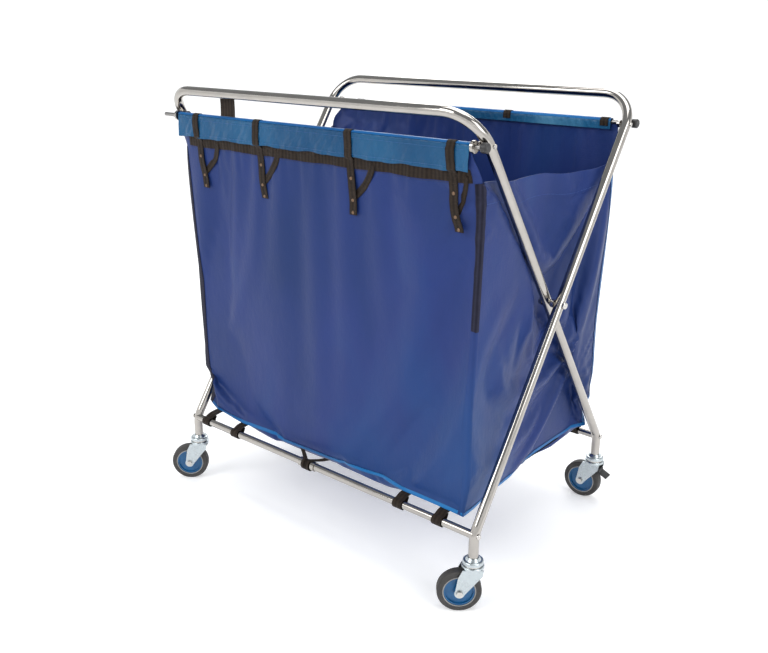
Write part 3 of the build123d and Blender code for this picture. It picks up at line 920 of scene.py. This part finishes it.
def dome(centre, normal, radius, height):
    """Points and faces of a small domed stud with a flat back."""
    up = np.array(normal, float)
    side = np.cross(up, (0, 0, 1))
    side = side / np.linalg.norm(side)
    other = np.cross(up, side)
    steps = 16
    points = [np.array(centre) + up * height]
    for ring, level in ((0.42, 0.92), (0.6, 0.62), (0.72, 0.62), (0.95, 0.45), (1.0, 0.0)):
        for n in range(steps):
            a = 2 * math.pi * n / steps
            points.append(np.array(centre) + (side * math.cos(a) + other * math.sin(a)) * radius * ring
                          + up * height * level)
    points.append(np.array(centre, float))
    faces = [(0, 1 + n, 1 + (n + 1) % steps) for n in range(steps)]
    for r in range(4):
        for n in range(steps):
            a, b = 1 + r * steps + n, 1 + r * steps + (n + 1) % steps
            faces.append((a, a + steps, b + steps, b))
    last = len(points) - 1
    faces += [(last, 1 + 4 * steps + (n + 1) % steps, 1 + 4 * steps + n) for n in range(steps)]
    return points, faces


def hem_straps(side, grid):
    """The straps over the hem, their slanting tails and their press studs."""
    node = f"{SIDE[side]}_hem_straps"
    points, faces = [], []
    for n, x in enumerate(STRAP_X[side]):
        line = strap_line(side, grid, x)
        strap = path_ribbon(f"{node}_{n + 1}", line, (1, 0, 0), STRAP_W, WEB * 0.8, "black_webbing")
        length = 9 * MM + math.pi * (HEM_R + LOOP_GAP) + ROD[side].z - STRAP_TIP
        hang(strap, node, (STRAP_W, length), "hung", [f"{SIDE[side]}_bag_rod"], "black_webbing")
        follow(strap)
        top_x = min(max(x - side * TAIL_REACH, BAG_LEFT + 14 * MM), BAG_RIGHT - 14 * MM)
        tail = []
        for t in np.linspace(0, 1, 12):
            tx = top_x + (x - side * 11 * MM - top_x) * t ** 1.5
            tz = TAIL_TOP_Z + (TAIL_FOOT_Z - TAIL_TOP_Z) * t ** 0.85
            tail.append((tx, side * (side * surface_y(grid, tx, tz) + 2.6 * MM - 0.6 * MM * t), tz))
        if abs(top_x - x) > 20 * MM:
            along = np.array(tail[-1]) - np.array(tail[0])
            wide = np.cross(along, (0, side, 0))
            piece = path_ribbon(f"{node}_tail_{n + 1}", tail, wide, STRAP_W * 0.8, WEB * 0.6,
                                "black_webbing")
            hang(piece, node, (STRAP_W * 0.8, float(np.linalg.norm(along))), "hung",
                 [f"{SIDE[side]}_bag_rod"], "black_webbing")
            follow(piece)
        for z in STUD_Z:
            at = line[np.argmin(abs(line[13:, 2] - z)) + 13]
            more, tris = dome((at[0], at[1] + side * WEB * 0.4, z), (0, side, 0), STUD_R, STUD_TALL)
            base = len(points)
            points += more
            faces += [tuple(base + i for i in f) for f in tris]
    studs = raw_mesh(f"{SIDE[side]}_strap_snaps", points, faces)
    studs.data.materials.append(LOOKS["stud_brass"])
    stand_in(studs, f"{SIDE[side]}_strap_snaps")
    follow(studs)


def edge_tape(name, long_panel, end, look, side, right):
    """Tape folded round an upright corner of the bag, from the long panel to the end panel."""
    col = -1 if right else 0
    step = -1 if right else 1
    end_col = 0 if side < 0 else -1
    end_step = 1 if side < 0 else -1
    offset = len(long_panel) - len(end)
    grid = []
    normals = []
    away_long = np.array((0, side, 0.0))
    away_end = np.array((1.0 if right else -1.0, 0, 0))
    both = (away_long + away_end) / math.sqrt(2)
    gap = 1.5 * MM
    for r in range(len(end)):
        corner = end[r, end_col]
        long_two = long_panel[r + offset, col + 2 * step]
        long_one = long_panel[r + offset, col + step]
        end_one = end[r, end_col + end_step]
        row = [long_two + away_long * gap, long_one + away_long * gap, corner + both * gap * 1.3,
               end_one + away_end * gap]
        grid.append(row)
        normals.append([away_long, away_long, both, away_end])
    made = tape(name, np.array(grid), np.array(normals), look)
    if right and side < 0:
        made[-1].data.materials[0] = LOOKS["bag_fabric"]


END_HEM_ROWS = 7
END_HEM_FLAT = 98 * MM


def end_hem(name, end, right):
    """The doubled rim of an end panel, split at the middle."""
    out = np.array((1.0 if right else -1.0, 0, 0))
    rows = []
    for r in range(END_HEM_ROWS, -1, -1):
        rows.append(end[r] + out * (1.6 * MM + 0.5 * MM * np.sin(end[r][:, 1:2] * 90)))
    rows.append(end[0] + out * 0.9 * MM + np.array((0, 0, 2.4 * MM)))
    rows.append(end[0] - out * 0.9 * MM + np.array((0, 0, 2.4 * MM)))
    for r in range(END_HEM_ROWS + 1):
        rows.append(end[r] - out * 1.6 * MM)
    grid = np.array(rows)
    mid = grid.shape[1] // 2
    for part, (a, b) in {"front": (1, mid + 1), "rear": (mid, grid.shape[1] - 1)}.items():
        cut = grid[:, a:b]
        piece = shell(f"{name}_{part}", cut, 1.0 * MM, "bag_fabric")
        hang(piece, "bag_end_hems", ((BAG_REAR - BAG_FRONT) / 2, END_HEM_FLAT), "folded",
             ["bag_right_panel" if right else "bag_left_panel"])
        follow(piece)
        line = cut[1] + out * 0.9 * MM
        seam = stand_in(stitches(f"{name}_{part}_stitches", line, out, "thread"), "bag_end_hems")
        follow(seam)


def bottom_binding(grid, name, node, away, parts):
    """A bright bound edge along the foot of a panel."""
    strip = grid[-2:] + np.array(away) * 1.4 * MM
    under = grid[-1:] + np.array(away) * 0.6 * MM + np.array((0, 0, -1.6 * MM))
    full = np.concatenate([strip, under])
    for part, (a, b, side) in parts.items():
        cut = full[:, a:b]
        piece = shell(name + part, cut, 1.0 * MM, "bag_binding", normals=facing_out(cut))
        hang(piece, node, flat_size(cut), "hung", [node])
        follow(piece)


def under_strap(n, x):
    """Webbing from the front cross tube under the bag to the rear one."""
    for side in (-1, 1):
        foot = FRONT_FOOT if side < 0 else REAR_FOOT
        reach = 11.0 * MM
        line = [(x, 0, BAG_BOTTOM - 4.5 * MM), (x, side * 0.13, BAG_BOTTOM - 4.5 * MM),
                (x, side * 0.262, BAG_BOTTOM - 4.2 * MM)]
        for a in np.linspace(math.radians(105), math.radians(-170), 18):
            line.append((x, foot.y + side * reach * math.cos(a), foot.z + reach * math.sin(a)))
        line.append((x, side * 0.276, BAG_BOTTOM - 9 * MM))
        line = spline(np.array(line), 3)
        strap = path_ribbon(f"under_bag_strap_{n}_{SIDE[side]}", line, (1, 0, 0), 25 * MM, WEB * 0.8,
                            "black_webbing")
        length = float(np.linalg.norm(np.diff(line, axis=0), axis=1).sum())
        hang(strap, "under_bag_straps", (25 * MM, length), "stretched",
             [f"{SIDE[side]}_lower_tube"], "black_webbing")
        follow(strap)


def centre_loop():
    """Two short straps from the middle sleeve up to the bag's lower edge."""
    x = middle("centre_sleeve").x
    reach = 13.6 * MM
    foot = FRONT_FOOT
    for n, spread in enumerate((-1, 1)):
        line = [(x + spread * 42 * MM, -0.271, BAG_BOTTOM - 4 * MM), (x + spread * 26 * MM, -0.281, 0.1915)]
        for a in np.linspace(math.radians(70), math.radians(-200), 16):
            line.append((x + spread * 4 * MM, foot.y - reach * math.cos(a), foot.z + reach * math.sin(a)))
        line = spline(np.array(line), 3)
        piece = path_ribbon(f"centre_loop_{n + 1}", line, (1, 0, 0), 16 * MM, WEB * 0.7, "black_webbing")
        length = float(np.linalg.norm(np.diff(line, axis=0), axis=1).sum())
        hang(piece, "centre_strap_loop", (16 * MM, length), "stretched", ["front_lower_tube"],
             "black_webbing")
        follow(piece)


def bar_tab():
    """The wide tab behind the front top bar."""
    low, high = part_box("front_bar_tab")
    y = (low.y + high.y) / 2
    line = [(0, y + 0.9 * MM * math.sin((z - low.z) * 60), z) for z in np.linspace(low.z, high.z, 9)]
    line = np.array(line) + np.array(((low.x + high.x) / 2, 0, 0))
    piece = path_ribbon("bar_tab_webbing", line, (1, 0, 0), high.x - low.x, 1.6 * MM, "black_webbing")
    hang(piece, "front_bar_tab", (high.x - low.x, high.z - low.z), "stretched", ["front_frame_tube"],
         "black_webbing")
    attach(piece, "front_top_frame")


def tyre_rings(wheel):
    """A thin light ring on both faces of the tyre, round the blue core."""
    joint = [j for j in frame["joints"] if j["name"] == f"{wheel}_wheel_spin"][0]
    axle = Vector(joint["axis"]).normalized()
    centre = Vector(joint["pos_m"])
    flat = axle.cross(Vector((0, 0, 1))).normalized()
    points, faces = [], []
    steps, turn = 64, 8
    for face in (-1, 1):
        base = len(points)
        for n in range(steps):
            a = 2 * math.pi * n / steps
            spoke = flat * math.cos(a) + Vector((0, 0, 1)) * math.sin(a)
            for m in range(turn):
                b = 2 * math.pi * m / turn
                points.append(centre + axle * face * (12 * MM + 0.7 * MM * math.cos(b))
                              + spoke * (34.5 * MM + 1.3 * MM * math.sin(b)))
        for n in range(steps):
            for m in range(turn):
                a, b = base + n * turn + m, base + n * turn + (m + 1) % turn
                c, d = base + (n + 1) % steps * turn + (m + 1) % turn, base + (n + 1) % steps * turn + m
                faces.append((a, b, c, d) if face > 0 else (d, c, b, a))
    ring = raw_mesh(f"{wheel}_tyre_rings", points, faces)
    ring.data.materials.append(LOOKS["grey_ring"])
    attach(ring, f"{wheel}_wheel")


# ------------------------------------------------------------------ build

set_camera()
set_lights()
lay_floor()
dress_cad_nodes()
grids = bag_panels(*make_bag())
for side in (-1, 1):
    panel = grids[SIDE[side]]
    hem(side)
    hem_bands(side, panel)
    hem_straps(side, panel)
    for right in (True, False):
        end = grids["right" if right else "left"]
        look = "dark_binding" if side < 0 else "bag_binding"
        edge_tape(f"corner_binding_{SIDE[side]}_{'right' if right else 'left'}", panel, end, look,
                  side, right)
    bottom_binding(panel, f"{SIDE[side]}_bottom_binding", f"bag_{SIDE[side]}_panel", (0, side, 0),
                   {"": (0, panel.shape[1], side)})
for right in (True, False):
    name = "right" if right else "left"
    end = grids[name]
    half = end.shape[1] // 2
    end_hem(f"{name}_end_hem", end, right)
    bottom_binding(end, f"{name}_bottom_binding", f"bag_{name}_panel", (1 if right else -1, 0, 0),
                   {"_front": (0, half + 1, -1), "_rear": (half, end.shape[1], 1)})
for n, x in enumerate(STRAPS_UNDER_X):
    under_strap(n + 1, x)
centre_loop()
bar_tab()
for wheel in ("front_left", "front_right", "rear_left", "rear_right"):
    tyre_rings(wheel)
